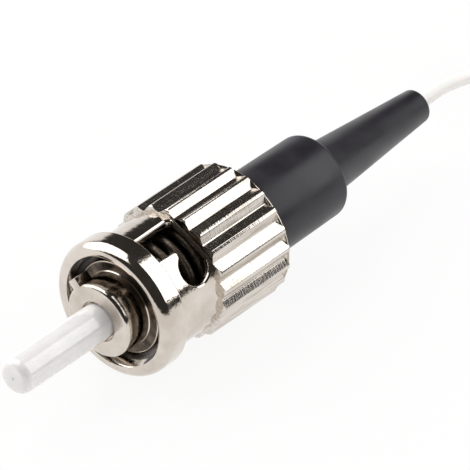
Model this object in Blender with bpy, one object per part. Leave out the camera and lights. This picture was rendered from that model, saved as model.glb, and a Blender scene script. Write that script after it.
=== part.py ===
"""Fibre optic patch cord: a 0.9 mm buffered fibre with a bayonet connector on each end.

Units are metres, +Z is up. The near connector lies along Y with its ferrule tip towards -Y,
and the surface it lies on is the plane z = 0. Inside a connector, sizes along the axis are
counted from the ferrule tip, and angles round it from +X towards +Z.
"""

import math

import bmesh
import bpy
from mathutils import Vector

MM = 0.001

# Ferrule and fibre
FERRULE_DIAMETER = 2.5 * MM
FERRULE_LENGTH = 10.9 * MM
FERRULE_EXPOSED = 7.9 * MM
FERRULE_TIP_DIAMETER = 1.9 * MM
FERRULE_TIP_CHAMFER = 0.42 * MM
FERRULE_FUNNEL_LENGTH = 1.3 * MM
FERRULE_FUNNEL_DIAMETER = 1.1 * MM
GLASS_DIAMETER = 0.125 * MM
COATING_DIAMETER = 0.25 * MM
COATING_IN_FUNNEL = 0.63 * MM

# Connector body
BARREL_DIAMETER = 5.0 * MM
BARREL_LENGTH = 2.05 * MM
BARREL_EDGE = 0.14 * MM
FACE_HOLE_STEP = 0.13 * MM
FACE_HOLE_DEPTH = 0.5 * MM
FLANGE_THICKNESS = 0.8 * MM
SHAFT_DIAMETER = 4.6 * MM
BODY_BORE_DIAMETER = 1.7 * MM
POST_IN_BOOT = 6.1 * MM
POST_RIB_COUNT = 3
POST_RIB_DEPTH = 0.16 * MM
KEY_WIDTH = 0.75 * MM
KEY_HEIGHT = 0.55 * MM
KEY_LENGTH = 1.2 * MM
KEY_ANGLE = 135.0

# Spring, thrust washer and retaining clip
SPRING_WIRE = 0.56 * MM
SPRING_LENGTH = 8.2 * MM
SPRING_COILS = 6
SPRING_CLOSED_TURNS = 2
SPRING_ON_SHAFT = 0.44 * MM
WASHER_THICKNESS = 0.4 * MM
CLIP_THICKNESS = 0.5 * MM
CLIP_DEPTH = 0.4 * MM
CLIP_STAND = 0.8 * MM
CLIP_GAP_ANGLE = 70.0

# Coupling nut
NUT_BORE_STEP = 0.34 * MM
SLEEVE_WALL = 0.49 * MM
SLEEVE_LENGTH = 3.7 * MM
RIM_STAND = 0.55 * MM
RIM_LENGTH = 1.97 * MM
RIM_NOSE_LENGTH = 0.75 * MM
RIM_BACK_EDGE = 0.18 * MM
LIP_WIDTH = 0.5 * MM
LIP_ROUND = 0.5 * MM
LIP_DEPTH = 0.8 * MM
SPRING_POCKET_FRONT = 0.35 * MM
KNURL_STAND = 0.45 * MM
KNURL_LENGTH = 6.35 * MM
KNURL_EDGE = 0.12 * MM
KNURL_BACK_RING = 0.22 * MM
FLUTE_COUNT = 21
FLUTE_DEPTH = 0.36 * MM
FLUTE_TOP_WIDTH = 0.5 * MM
FLUTE_FLOOR_WIDTH = 0.34 * MM
FLUTE_LAND_ANGLE = 2.9
SHOULDER_THICKNESS = 0.9 * MM
CLIP_RECESS_DEPTH = 0.85 * MM

# Bayonet slots, two of them opposite each other
SLOT_ENTRY_FROM = 61.0
SLOT_ENTRY_TO = 90.0
SLOT_END_CENTRE = 38.0
SLOT_END_RADIUS = 1.15 * MM
SLOT_REAR_WEB = 0.24 * MM
SLOT_THROAT = 1.6 * MM
SLOT_CORNER = 0.3 * MM
KEYWAY_DEPTH = 0.29 * MM
KEYWAY_INSET = 1.5

# Boot
BOOT_WALL = 0.755 * MM
BOOT_DRAFT = 0.08 * MM
BOOT_BODY_LENGTH = 7.3 * MM
BOOT_TAIL_LENGTH = 10.7 * MM
BOOT_ROOT_WALL = 1.12 * MM
BOOT_END_WALL = 0.69 * MM
BOOT_SHOULDER_RADIUS = 0.4 * MM
BOOT_TIP_RADIUS = 0.25 * MM
BOOT_FRONT_GAP = 0.65 * MM

# Cord
CORD_LENGTH = 1.0
CORD_DIAMETER = 0.9 * MM
CORD_STRIP = 16.6 * MM
HANK_COLUMNS = 3
HANK_ROWS = 6
HANK_PITCH = 0.95 * MM
HANK_FOLD_RADIUS = 2.75 * MM
HANK_FROM_NEAR = 14.5 * MM
FAR_FROM_HANK = 15.8 * MM
TIE_THICKNESS = 0.25 * MM
TIE_WIDTH = 2.6 * MM
GUIDE_WALL = 0.3 * MM
GUIDE_LENGTH = 13.5 * MM

# Clearances between pieces
FIT_CLEARANCE = 0.02 * MM
GLASS_CLEARANCE = 0.008 * MM
SEAT_GAP = 0.03 * MM
RUNNING_CLEARANCE = 0.12 * MM
CORD_CLEARANCE = 0.06 * MM
CORD_END_GAP = 0.3 * MM

ROUND_SEGMENTS = 48
SMALL_SEGMENTS = 20
FINE_SEGMENTS = 12
BODY_SEGMENTS = 32
BOOT_SEGMENTS = 26
FOLD_SEGMENTS = 12
CUT_OVERRUN = 0.4 * MM
SLOT_CUT_REACH = 1.35

# Stations along the connector axis, from the ferrule tip
body_front = FERRULE_EXPOSED
flange_front = body_front + BARREL_LENGTH
flange_back = flange_front + FLANGE_THICKNESS
spring_front = flange_back + SEAT_GAP
spring_back = spring_front + SPRING_LENGTH
washer_front = spring_back + SEAT_GAP
washer_back = washer_front + WASHER_THICKNESS
shoulder_front = washer_back + SEAT_GAP
shoulder_back = shoulder_front + SHOULDER_THICKNESS
clip_front = shoulder_back + SEAT_GAP
clip_back = clip_front + CLIP_THICKNESS
nut_back = shoulder_back + CLIP_RECESS_DEPTH
knurl_front = nut_back - KNURL_LENGTH
rim_back = knurl_front - SLEEVE_LENGTH
rim_front = rim_back - RIM_LENGTH
boot_front = nut_back + BOOT_FRONT_GAP
post_back = boot_front + POST_IN_BOOT
boot_shoulder = boot_front + BOOT_BODY_LENGTH
boot_back = boot_shoulder + BOOT_TAIL_LENGTH
ferrule_seat = FERRULE_LENGTH + SEAT_GAP

# Radii that follow from the fits, from the shaft outwards
clip_outer = SHAFT_DIAMETER / 2 + CLIP_STAND
clip_groove = SHAFT_DIAMETER / 2 - CLIP_DEPTH
spring_radius = SHAFT_DIAMETER / 2 + SPRING_ON_SHAFT + SPRING_WIRE / 2
flange_radius = spring_radius + SPRING_WIRE / 2
pocket_radius = flange_radius + RUNNING_CLEARANCE
nut_bore = pocket_radius + NUT_BORE_STEP
sleeve_radius = nut_bore + SLEEVE_WALL
grip_radius = sleeve_radius + KNURL_STAND
axis_height = sleeve_radius + RIM_STAND
guide_outer = BODY_BORE_DIAMETER / 2 - FIT_CLEARANCE
guide_inner = guide_outer - GUIDE_WALL
boot_socket = SHAFT_DIAMETER / 2 + FIT_CLEARANCE
boot_bore = CORD_DIAMETER / 2 + CORD_CLEARANCE

# Where the near connector and the hank of cord lie on the surface
near_tip = Vector((0, -boot_back / 2, axis_height))
near_exit = near_tip.y + boot_back
hank_front = near_exit + HANK_FROM_NEAR
hank_low = TIE_THICKNESS + 3 * SEAT_GAP + CORD_DIAMETER / 2
hank_high = hank_low + (HANK_ROWS - 1) * HANK_PITCH
hank_middle = HANK_FOLD_RADIUS + (HANK_COLUMNS - 1) * HANK_PITCH / 2
hank_outer = HANK_FOLD_RADIUS + (HANK_COLUMNS - 1) * HANK_PITCH


def clear_scene():
    for item in list(bpy.data.objects):
        bpy.data.objects.remove(item, do_unlink=True)


def make_material(name, colour, roughness, metallic=0.0):
    material = bpy.data.materials.new(name)
    material.use_nodes = True
    shader = material.node_tree.nodes["Principled BSDF"]
    shader.inputs["Base Color"].default_value = (*colour, 1)
    shader.inputs["Roughness"].default_value = roughness
    shader.inputs["Metallic"].default_value = metallic
    material.diffuse_color = (*colour, 1)
    return material


def make_empty(name, location, turn=0.0):
    empty = bpy.data.objects.new(name, None)
    empty.location = location
    empty.rotation_euler = (0, 0, turn)
    bpy.context.collection.objects.link(empty)
    return empty


def finish_mesh(name, mesh_builder, material, parent, smooth_angle=35):
    bmesh.ops.recalc_face_normals(mesh_builder, faces=mesh_builder.faces)
    mesh = bpy.data.meshes.new(name)
    mesh_builder.to_mesh(mesh)
    mesh_builder.free()
    mesh.materials.append(material)
    mesh.shade_smooth()
    mesh.set_sharp_from_angle(angle=math.radians(smooth_angle))
    item = bpy.data.objects.new(name, mesh)
    item.parent = parent
    bpy.context.collection.objects.link(item)
    return item


def turned(name, profile, material, parent, segments=ROUND_SEGMENTS, solid=False):
    """A profile of (place along the axis, radius) turned about Y. A solid one ends on the axis."""
    shape = bmesh.new()
    points = [shape.verts.new((radius, place, 0)) for place, radius in profile]
    for first, second in zip(points, points[1:]):
        shape.edges.new((first, second))
    if not solid:
        shape.edges.new((points[-1], points[0]))
    bmesh.ops.spin(
        shape,
        geom=shape.verts[:] + shape.edges[:],
        cent=(0, 0, 0),
        axis=(0, -1, 0),
        angle=2 * math.pi,
        steps=segments,
        use_merge=True,
    )
    bmesh.ops.remove_doubles(shape, verts=shape.verts, dist=1e-7)
    return finish_mesh(name, shape, material, parent)


def arc(centre, radii, start, end, steps):
    """Points of (along, radius) on an ellipse arc, angles in degrees from +along towards +radius."""
    return [
        (centre[0] + radii[0] * math.cos(math.radians(angle)),
         centre[1] + radii[1] * math.sin(math.radians(angle)))
        for angle in (start + (end - start) * step / steps for step in range(steps + 1))
    ]


def rounded_rectangle(centre, half, corner, steps=2):
    points = []
    for sign_a, sign_b, start in ((1, 1, 0), (-1, 1, 90), (-1, -1, 180), (1, -1, 270)):
        place = (centre[0] + sign_a * (half[0] - corner), centre[1] + sign_b * (half[1] - corner))
        points += arc(place, (corner, corner), start, start + 90, steps)
    return points


def around(angle, radius, place):
    turn = math.radians(angle)
    return (radius * math.cos(turn), place, radius * math.sin(turn))


def curved_prism(shape, outline, inner, outer):
    """A closed block between two radii whose outline is given as (angle, place along the axis)."""
    low = [shape.verts.new(around(angle, inner, place)) for angle, place in outline]
    high = [shape.verts.new(around(angle, outer, place)) for angle, place in outline]
    shape.faces.new(low)
    shape.faces.new(reversed(high))
    for step in range(len(outline)):
        following = (step + 1) % len(outline)
        shape.faces.new((low[following], low[step], high[step], high[following]))
    bmesh.ops.triangulate(shape, faces=[face for face in shape.faces if len(face.verts) > 4])


def make_cutter(name, shape, parent):
    cutter = finish_mesh(name, shape, guide_material, parent)
    cutter.hide_render = True
    cutter.display_type = "WIRE"
    return cutter


def add_boolean(item, cutter, operation):
    modifier = item.modifiers.new(cutter.name, "BOOLEAN")
    modifier.operation = operation
    modifier.object = cutter
    modifier.solver = "EXACT"


def smooth_route(route, spacing):
    """Points on a smooth curve through the route, each stretch cut into even steps."""
    padded = [2 * route[0] - route[1]] + route + [2 * route[-1] - route[-2]]
    points = [route[0]]
    for before, start, end, after in zip(padded, padded[1:], padded[2:], padded[3:]):
        stretch = (end - start).length
        leave = (end - before) * stretch / ((start - before).length + stretch)
        arrive = (after - start) * stretch / (stretch + (after - end).length)
        steps = max(1, round(stretch / spacing))
        for step in range(1, steps + 1):
            t = step / steps
            points.append(
                (2 * t**3 - 3 * t**2 + 1) * start + (t**3 - 2 * t**2 + t) * leave
                + (3 * t**2 - 2 * t**3) * end + (t**3 - t**2) * arrive
            )
    return points


def route_before(points, limit):
    """The route up to the point where it crosses y = limit, which becomes its last point."""
    kept = [points[0]]
    for first, second in zip(points, points[1:]):
        share = (limit - first.y) / (second.y - first.y)
        if share < 1:
            kept.append(first.lerp(second, share))
            return kept
        kept.append(second)
    return kept


def route_length(points):
    return sum((second - first).length for first, second in zip(points, points[1:]))


def tube(name, points, diameter, material, parent, resolution=2):
    curve = bpy.data.curves.new(name, "CURVE")
    curve.dimensions = "3D"
    curve.bevel_depth = diameter / 2
    curve.bevel_resolution = resolution
    curve.use_fill_caps = True
    spline = curve.splines.new("POLY")
    spline.points.add(len(points) - 1)
    for target, point in zip(spline.points, points):
        target.co = (*point, 1)
    curve.materials.append(material)
    item = bpy.data.objects.new(name, curve)
    item.parent = parent
    bpy.context.collection.objects.link(item)
    return item


def make_ferrule(prefix, parent):
    """Ceramic ferrule: a polished tip, a fine bore for the glass and a funnel at the back."""
    outer = FERRULE_DIAMETER / 2
    bore = GLASS_DIAMETER / 2 + GLASS_CLEARANCE
    profile = [
        (0, bore),
        (0, FERRULE_TIP_DIAMETER / 2),
        (FERRULE_TIP_CHAMFER, outer - 0.15 * FERRULE_TIP_CHAMFER),
        (1.5 * FERRULE_TIP_CHAMFER, outer),
        (FERRULE_LENGTH, outer),
        (FERRULE_LENGTH, FERRULE_FUNNEL_DIAMETER / 2),
        (FERRULE_LENGTH - FERRULE_FUNNEL_LENGTH, bore),
    ]
    turned(prefix + "ferrule", profile, ceramic_material, parent, SMALL_SEGMENTS)


def make_fibre(prefix, parent):
    """The bare glass in the ferrule, and the coated fibre between it and the buffer."""
    glass = GLASS_DIAMETER / 2
    coating = COATING_DIAMETER / 2
    coating_back = CORD_STRIP - SEAT_GAP
    coating_front = FERRULE_LENGTH - COATING_IN_FUNNEL
    glass_back = coating_front - SEAT_GAP
    glass_profile = [(0, 0), (0, glass), (glass_back, glass), (glass_back, 0)]
    turned(prefix + "glass_fibre", glass_profile, glass_material, parent, FINE_SEGMENTS, solid=True)
    coated_profile = [
        (coating_front, 0),
        (coating_front, coating),
        (coating_back, coating),
        (coating_back, 0),
    ]
    turned(prefix + "fibre_coating", coated_profile, cord_material, parent, FINE_SEGMENTS, solid=True)


def make_body(prefix, parent):
    """Turned body: barrel with key, spring flange, shaft, clip groove and ribbed rear post."""
    barrel = BARREL_DIAMETER / 2
    shaft = SHAFT_DIAMETER / 2
    seat = FERRULE_DIAMETER / 2 + FIT_CLEARANCE
    bore = BODY_BORE_DIAMETER / 2
    groove_front = clip_front - SEAT_GAP
    groove_back = clip_back + SEAT_GAP
    profile = [
        (body_front, FERRULE_DIAMETER / 2 + FACE_HOLE_STEP),
        (body_front, barrel - BARREL_EDGE),
        (body_front + BARREL_EDGE, barrel),
        (flange_front, barrel),
        (flange_front, flange_radius),
        (flange_back, flange_radius),
        (flange_back, shaft),
        (groove_front, shaft),
        (groove_front, clip_groove),
        (groove_back, clip_groove),
        (groove_back, shaft),
    ]
    rib_pitch = POST_IN_BOOT / POST_RIB_COUNT
    for rib in range(POST_RIB_COUNT):
        start = boot_front + rib * rib_pitch
        profile += [(start + 0.3 * rib_pitch, shaft - POST_RIB_DEPTH), (start + rib_pitch, shaft)]
        if rib < POST_RIB_COUNT - 1:
            profile.append((start + rib_pitch, shaft - POST_RIB_DEPTH / 2))
    profile += [
        (post_back, bore),
        (ferrule_seat, bore),
        (ferrule_seat, seat),
        (body_front + FACE_HOLE_DEPTH, seat),
    ]
    body = turned(prefix + "connector_body", profile, nickel_material, parent, BODY_SEGMENTS)

    key = bmesh.new()
    half_angle = math.degrees(KEY_WIDTH / 2 / barrel)
    outline = [
        (KEY_ANGLE - half_angle, body_front + SEAT_GAP),
        (KEY_ANGLE + half_angle, body_front + SEAT_GAP),
        (KEY_ANGLE + half_angle, body_front + KEY_LENGTH),
        (KEY_ANGLE - half_angle, body_front + KEY_LENGTH),
    ]
    curved_prism(key, outline, barrel - KEY_HEIGHT, barrel + KEY_HEIGHT)
    add_boolean(body, make_cutter(prefix + "key_shape", key, parent), "UNION")


def make_spring(prefix, parent):
    """Compression spring: wound wire with a closed turn at each end."""
    wire = SPRING_WIRE / 2
    closed = SPRING_WIRE + 2 * SEAT_GAP
    open_length = SPRING_LENGTH - SPRING_WIRE - SPRING_CLOSED_TURNS * closed
    steps_per_turn = 10
    turns = SPRING_COILS + SPRING_CLOSED_TURNS
    points = []
    for step in range(turns * steps_per_turn + 1):
        turn = step / steps_per_turn
        rise = closed * min(turn, 1) + closed * max(turn - turns + 1, 0)
        rise += open_length * min(max(turn - 1, 0), SPRING_COILS) / SPRING_COILS
        points.append(Vector(around(360 * turn, spring_radius, spring_front + wire + rise)))
    tube(prefix + "spring", points, SPRING_WIRE, steel_material, parent, resolution=1)


def make_washer(prefix, parent):
    inner = SHAFT_DIAMETER / 2 + RUNNING_CLEARANCE
    outer = pocket_radius - RUNNING_CLEARANCE / 2
    profile = [(washer_front, inner), (washer_front, outer), (washer_back, outer), (washer_back, inner)]
    turned(prefix + "thrust_washer", profile, steel_material, parent, SMALL_SEGMENTS)


def make_clip(prefix, parent):
    """C-shaped retaining clip in the groove behind the nut's shoulder."""
    inner = clip_groove + SEAT_GAP
    shape = bmesh.new()
    corners = [
        (inner, clip_front),
        (clip_outer, clip_front),
        (clip_outer, clip_back),
        (inner, clip_back),
    ]
    start = math.radians(CLIP_GAP_ANGLE / 2 - 90)
    rim = [
        shape.verts.new((radius * math.cos(start), place, radius * math.sin(start)))
        for radius, place in corners
    ]
    face = shape.faces.new(rim)
    bmesh.ops.spin(
        shape,
        geom=[face] + face.edges[:] + face.verts[:],
        cent=(0, 0, 0),
        axis=(0, -1, 0),
        angle=math.radians(360 - CLIP_GAP_ANGLE),
        steps=SMALL_SEGMENTS,
    )
    bmesh.ops.remove_doubles(shape, verts=shape.verts, dist=1e-7)
    finish_mesh(prefix + "retaining_clip", shape, steel_material, parent)


def slot_outline(turn):
    """Bayonet slot: an entry behind the rim, a ramp past the hump, and a round detent at its end."""
    rear = knurl_front - SLOT_REAR_WEB
    end_place = rear - SLOT_END_RADIUS

    def degrees(distance):
        return math.degrees(distance / sleeve_radius)

    corner = degrees(SLOT_CORNER)
    outline = [
        (SLOT_ENTRY_FROM, rim_back + SEAT_GAP),
        (SLOT_ENTRY_TO, rim_back + SEAT_GAP),
        (SLOT_ENTRY_TO, rear - SLOT_CORNER),
        (SLOT_ENTRY_TO - 0.3 * corner, rear - 0.3 * SLOT_CORNER),
        (SLOT_ENTRY_TO - corner, rear),
    ]
    for angle in range(90, 331, 20):
        across = math.cos(math.radians(angle))
        along = math.sin(math.radians(angle))
        outline.append(
            (SLOT_END_CENTRE + degrees(SLOT_END_RADIUS * across), end_place + SLOT_END_RADIUS * along)
        )
    outline += [
        (SLOT_ENTRY_FROM - corner, rear - SLOT_THROAT),
        (SLOT_ENTRY_FROM, rear - SLOT_THROAT - SLOT_CORNER),
    ]
    return [(angle + turn, place) for angle, place in outline]


def make_nut(prefix, parent):
    """Coupling nut: rounded rim, sleeve with two bayonet slots, fluted grip and inner shoulder."""
    shoulder_bore = SHAFT_DIAMETER / 2 + RUNNING_CLEARANCE
    recess = clip_outer + RUNNING_CLEARANCE
    lip = nut_bore + LIP_WIDTH
    crown = sleeve_radius + RIM_STAND
    profile = arc((rim_front + LIP_ROUND, lip), (LIP_ROUND, LIP_WIDTH), 225, 180, 1)
    profile += arc((rim_front + RIM_NOSE_LENGTH, lip), (RIM_NOSE_LENGTH, crown - lip), 180, 90, 3)[1:]
    profile += [
        (rim_back - RIM_BACK_EDGE, crown),
        (rim_back, crown - RIM_BACK_EDGE),
        (rim_back, sleeve_radius),
        (knurl_front, sleeve_radius),
        (knurl_front, grip_radius - KNURL_EDGE),
        (knurl_front + KNURL_EDGE, grip_radius),
        (nut_back - KNURL_EDGE, grip_radius),
        (nut_back, grip_radius - KNURL_EDGE),
        (nut_back, recess),
        (shoulder_back, recess),
        (shoulder_back, shoulder_bore),
        (shoulder_front, shoulder_bore),
        (shoulder_front, pocket_radius),
        (knurl_front + SPRING_POCKET_FRONT, pocket_radius),
        (knurl_front, nut_bore),
        (rim_front + LIP_DEPTH, nut_bore),
    ]
    nut = turned(prefix + "coupling_nut", profile, nickel_material, parent)

    slots = bmesh.new()
    for turn in (0, 180):
        curved_prism(slots, slot_outline(turn), nut_bore - CUT_OVERRUN, SLOT_CUT_REACH * sleeve_radius)
    add_boolean(nut, make_cutter(prefix + "slot_shape", slots, parent), "DIFFERENCE")

    keyways = bmesh.new()
    for turn in (0, 180):
        start = SLOT_ENTRY_FROM + KEYWAY_INSET + turn
        end = SLOT_ENTRY_TO - KEYWAY_INSET + turn
        outline = [
            (start, rim_front - CUT_OVERRUN),
            ((start + end) / 2, rim_front - CUT_OVERRUN),
            (end, rim_front - CUT_OVERRUN),
            (end, rim_back + CUT_OVERRUN),
            ((start + end) / 2, rim_back + CUT_OVERRUN),
            (start, rim_back + CUT_OVERRUN),
        ]
        curved_prism(keyways, outline, nut_bore - CUT_OVERRUN, nut_bore + KEYWAY_DEPTH)
    add_boolean(nut, make_cutter(prefix + "keyway_shape", keyways, parent), "DIFFERENCE")

    flutes = bmesh.new()
    floor = grip_radius - FLUTE_DEPTH
    front = knurl_front - CUT_OVERRUN / 2
    back = nut_back - KNURL_BACK_RING
    pitch = 360 / FLUTE_COUNT
    for flute in range(FLUTE_COUNT):
        centre = FLUTE_LAND_ANGLE + (flute + 0.5) * pitch
        floor_half = math.degrees(FLUTE_FLOOR_WIDTH / 2 / floor)
        top = grip_radius + FLUTE_DEPTH / 2
        top_half = math.degrees(FLUTE_TOP_WIDTH / 2 / grip_radius) + floor_half / 2
        section = [
            (centre - floor_half, floor),
            (centre + floor_half, floor),
            (centre + top_half, top),
            (centre - top_half, top),
        ]
        start = [flutes.verts.new(around(angle, radius, front)) for angle, radius in section]
        end = [flutes.verts.new(around(angle, radius, back)) for angle, radius in section]
        flutes.faces.new(start)
        flutes.faces.new(reversed(end))
        for side in range(4):
            following = (side + 1) % 4
            flutes.faces.new((start[following], start[side], end[side], end[following]))
    add_boolean(nut, make_cutter(prefix + "flute_shape", flutes, parent), "DIFFERENCE")


def make_boot(prefix, parent):
    """Moulded boot: a sleeve over the rear post, a rounded shoulder and a tapered tail."""
    front = boot_socket + BOOT_WALL
    back = front - BOOT_DRAFT
    corner = BOOT_SHOULDER_RADIUS
    tip = BOOT_TIP_RADIUS
    profile = [(boot_front, boot_socket), (boot_front, front)]
    profile += arc((boot_shoulder - corner, back - corner), (corner, corner), 90, 0, 3)
    profile.append((boot_shoulder, guide_outer + BOOT_ROOT_WALL))
    profile += arc((boot_back - tip, boot_bore + BOOT_END_WALL - tip), (tip, tip), 90, 0, 2)
    profile += [
        (boot_back, boot_bore),
        (post_back + SEAT_GAP + guide_outer, boot_bore),
        (post_back + SEAT_GAP, guide_outer),
        (post_back + SEAT_GAP, boot_socket),
    ]
    turned(prefix + "boot", profile, boot_material, parent, BOOT_SEGMENTS)


def make_guide(prefix, parent):
    """Plastic tube in the body's bore that leads the buffered fibre to the ferrule."""
    back = post_back - SEAT_GAP
    front = back - GUIDE_LENGTH
    profile = [(front, guide_inner), (front, guide_outer), (back, guide_outer), (back, guide_inner)]
    turned(prefix + "buffer_guide", profile, guide_tube_material, parent, SMALL_SEGMENTS)


def make_connector(prefix, tip, turn):
    parent = make_empty(prefix + "connector_axis", tip, turn)
    make_ferrule(prefix, parent)
    make_fibre(prefix, parent)
    make_body(prefix, parent)
    make_spring(prefix, parent)
    make_washer(prefix, parent)
    make_clip(prefix, parent)
    make_nut(prefix, parent)
    make_guide(prefix, parent)
    make_boot(prefix, parent)


def near_route():
    """The cord's run from the near connector to the right side of the hank, on its bottom row."""
    start = near_tip.y + CORD_STRIP
    return [
        Vector((0, start, axis_height)),
        Vector((0, start + 12.0 * MM, axis_height)),
        Vector((0, near_exit, axis_height)),
        Vector((0.12 * MM, near_exit + 2.6 * MM, axis_height - 0.14 * MM)),
        Vector((0.75 * MM, near_exit + 5.6 * MM, axis_height - 0.85 * MM)),
        Vector((2.30 * MM, near_exit + 8.3 * MM, axis_height - 2.50 * MM)),
        Vector((4.10 * MM, near_exit + 10.6 * MM, hank_low + 0.21 * MM)),
        Vector((hank_outer, near_exit + 12.9 * MM, hank_low)),
        Vector((hank_outer, hank_front, hank_low)),
    ]


def far_route(hank_back):
    """The cord's run from the top of the hank, over the tie and the back fold, to the far connector."""
    over = hank_high + HANK_PITCH + TIE_THICKNESS + 2 * SEAT_GAP
    exit_place = hank_back + FAR_FROM_HANK
    start = exit_place + boot_back - CORD_STRIP
    return [
        Vector((HANK_FOLD_RADIUS, hank_front + 5.0 * MM, over)),
        Vector((HANK_FOLD_RADIUS, hank_back - 4.0 * MM, over)),
        Vector((HANK_FOLD_RADIUS - 0.25 * MM, hank_back, over - 0.10 * MM)),
        Vector((HANK_FOLD_RADIUS - 0.90 * MM, hank_back + 3.4 * MM, over - 0.25 * MM)),
        Vector((0.95 * MM, hank_back + 7.2 * MM, over - 0.75 * MM)),
        Vector((0.25 * MM, hank_back + 11.5 * MM, axis_height + 0.45 * MM)),
        Vector((0, exit_place, axis_height)),
        Vector((0, start - 12.0 * MM, axis_height)),
        Vector((0, start, axis_height)),
    ]


def hank_run(spacing):
    """How long the hank's straight runs are, so that the whole cord has its length."""
    near = route_length(smooth_route(near_route(), spacing))
    lift = 5.0 * MM
    far = route_length(smooth_route(far_route(hank_front + 4 * lift), spacing)) - 3 * lift
    wound = CORD_LENGTH - 2 * CORD_STRIP - near - far
    turns = HANK_COLUMNS * HANK_ROWS - 1
    folds = 2 * math.pi * (hank_middle * (turns + 1) - HANK_FOLD_RADIUS)
    return (wound - folds) / (2 * turns + 1)


def make_cord(run):
    """The cord's runs as tubes, and its folded length as a plain oblong ring held by a tie."""
    spacing = 2.0 * CORD_DIAMETER
    hank_back = hank_front + run
    half_width = (HANK_COLUMNS - 1) * HANK_PITCH / 2 + CORD_DIAMETER / 2
    half_height = (hank_high - hank_low) / 2 + CORD_DIAMETER / 2
    middle_height = (hank_low + hank_high) / 2

    near_points = smooth_route(near_route(), spacing)
    reach = math.sqrt((hank_middle + half_width + CORD_END_GAP) ** 2 - (hank_outer - CORD_DIAMETER / 2) ** 2)
    tube("cord_near", route_before(near_points, hank_front - reach), CORD_DIAMETER, cord_material, None)
    far_points = smooth_route(far_route(hank_back), spacing)
    tube("cord_far", far_points, CORD_DIAMETER, cord_material, None)

    ring = bmesh.new()
    section = rounded_rectangle((hank_middle, middle_height), (half_width, half_height), CORD_DIAMETER / 2)
    places = [(hank_back, 180 * step / FOLD_SEGMENTS) for step in range(FOLD_SEGMENTS + 1)]
    places += [(hank_front, 180 + angle) for _, angle in places]
    loops = []
    for centre, angle in places:
        turn = math.radians(angle)
        loops.append([
            ring.verts.new((across * math.cos(turn), centre + across * math.sin(turn), height))
            for across, height in section
        ])
    for loop, following in zip(loops, loops[1:] + loops[:1]):
        for step in range(len(section)):
            after = (step + 1) % len(section)
            ring.faces.new((loop[step], loop[after], following[after], following[step]))
    finish_mesh("cord_hank", ring, cord_material, None)

    strap = bmesh.new()
    edges = []
    place = (hank_front + hank_back - TIE_WIDTH) / 2
    for thickness in (0, TIE_THICKNESS):
        across = hank_middle + half_width + 2 * SEAT_GAP + thickness
        upright = half_height + 2 * SEAT_GAP + thickness
        outline = rounded_rectangle((0, middle_height), (across, upright), CORD_DIAMETER / 2)
        edges.append([strap.verts.new((along, place, height)) for along, height in outline])
    inner, outer = edges
    for step in range(len(inner)):
        following = (step + 1) % len(inner)
        strap.faces.new((inner[step], inner[following], outer[following], outer[step]))
    grown = bmesh.ops.extrude_face_region(strap, geom=strap.faces[:])["geom"]
    moved = [item for item in grown if isinstance(item, bmesh.types.BMVert)]
    bmesh.ops.translate(strap, verts=moved, vec=(0, TIE_WIDTH, 0))
    finish_mesh("cord_tie", strap, tie_material, None)


clear_scene()
nickel_material = make_material("nickel_plated_brass", (0.72, 0.69, 0.64), 0.18, 1.0)
steel_material = make_material("spring_steel", (0.55, 0.54, 0.52), 0.25, 1.0)
ceramic_material = make_material("zirconia_ceramic", (0.9, 0.89, 0.87), 0.12)
glass_material = make_material("optical_glass", (0.85, 0.9, 0.92), 0.05)
cord_material = make_material("white_buffer_plastic", (0.88, 0.87, 0.85), 0.4)
boot_material = make_material("black_moulded_rubber", (0.03, 0.03, 0.032), 0.5)
guide_tube_material = make_material("clear_guide_plastic", (0.8, 0.8, 0.78), 0.3)
tie_material = make_material("black_strap", (0.02, 0.02, 0.02), 0.8)
guide_material = make_material("cutter_guide", (0.8, 0.2, 0.2), 0.5)

run_length = hank_run(2.0 * CORD_DIAMETER)
far_exit = hank_front + run_length + FAR_FROM_HANK
far_tip = Vector((0, far_exit + boot_back, axis_height))
make_connector("", near_tip, 0)
make_connector("far_", far_tip, math.pi)
make_cord(run_length)
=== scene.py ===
import math

import bmesh
import bpy
from mathutils import Matrix, Quaternion, Vector


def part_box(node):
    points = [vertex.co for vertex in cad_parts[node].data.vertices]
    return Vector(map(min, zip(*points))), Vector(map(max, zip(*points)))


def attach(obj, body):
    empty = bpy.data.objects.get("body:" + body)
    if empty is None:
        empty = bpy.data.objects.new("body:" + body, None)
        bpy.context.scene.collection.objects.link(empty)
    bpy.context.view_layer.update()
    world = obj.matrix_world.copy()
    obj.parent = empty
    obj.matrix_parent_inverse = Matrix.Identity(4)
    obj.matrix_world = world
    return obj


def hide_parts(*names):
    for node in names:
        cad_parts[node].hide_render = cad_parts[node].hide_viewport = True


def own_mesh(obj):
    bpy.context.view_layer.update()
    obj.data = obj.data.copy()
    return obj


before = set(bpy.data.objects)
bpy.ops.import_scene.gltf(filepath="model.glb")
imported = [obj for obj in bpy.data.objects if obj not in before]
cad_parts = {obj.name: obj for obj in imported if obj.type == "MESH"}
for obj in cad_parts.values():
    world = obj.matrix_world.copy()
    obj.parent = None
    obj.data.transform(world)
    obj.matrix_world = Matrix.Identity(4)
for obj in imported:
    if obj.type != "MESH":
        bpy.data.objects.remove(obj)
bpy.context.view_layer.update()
print("frame loaded:", len(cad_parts), "nodes")

mm = 0.001

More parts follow.
